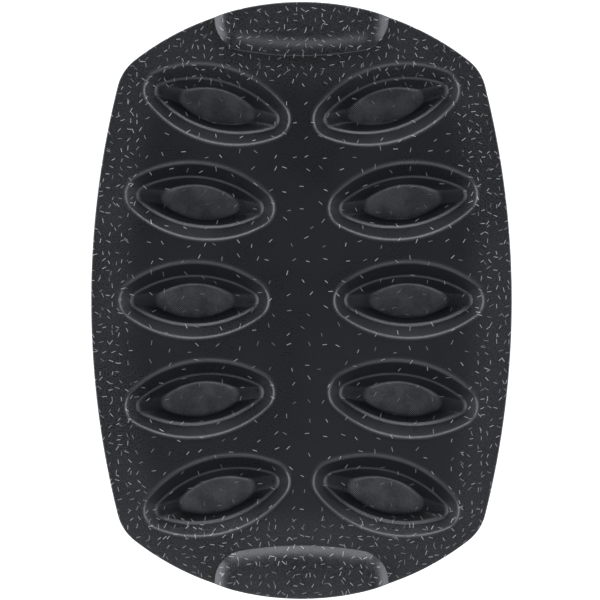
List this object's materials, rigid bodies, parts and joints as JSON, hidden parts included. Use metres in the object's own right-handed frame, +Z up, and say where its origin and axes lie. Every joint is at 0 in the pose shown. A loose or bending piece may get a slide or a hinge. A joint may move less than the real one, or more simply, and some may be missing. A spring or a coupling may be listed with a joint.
{
  "type": "baguette baking tray",
  "caption": "Flexible silicone baking tray with boat-shaped cups for small baguettes, a bowed outline and a raised grip at each end.",
  "frame": {"origin": "centre of the footprint, on the surface that the cups stand on", "axes": "+X across the tray, +Y along it towards the rear grip, +Z up out of the cups"},
  "size_m": [0.21, 0.297, 0.0215],
  "materials": {
    "border_silicone": "matt black silicone with pale flecks",
    "field_silicone": "matt black silicone with the print of a woven net and a few pale flecks",
    "glass_net": "plain-woven glass fibre net"
  },
  "bodies": {
    "root": {"border": "border_silicone", "grip_front": "border_silicone", "grip_rear": "border_silicone", "field_web": "field_silicone", "cup_left_1": "field_silicone", "cup_left_2": "field_silicone", "cup_left_3": "field_silicone", "cup_left_4": "field_silicone", "cup_left_5": "field_silicone", "cup_right_1": "field_silicone", "cup_right_2": "field_silicone", "cup_right_3": "field_silicone", "cup_right_4": "field_silicone", "cup_right_5": "field_silicone", "glass_net": "glass_net", "face_layer": "field_silicone"}
  },
  "joints": []
}
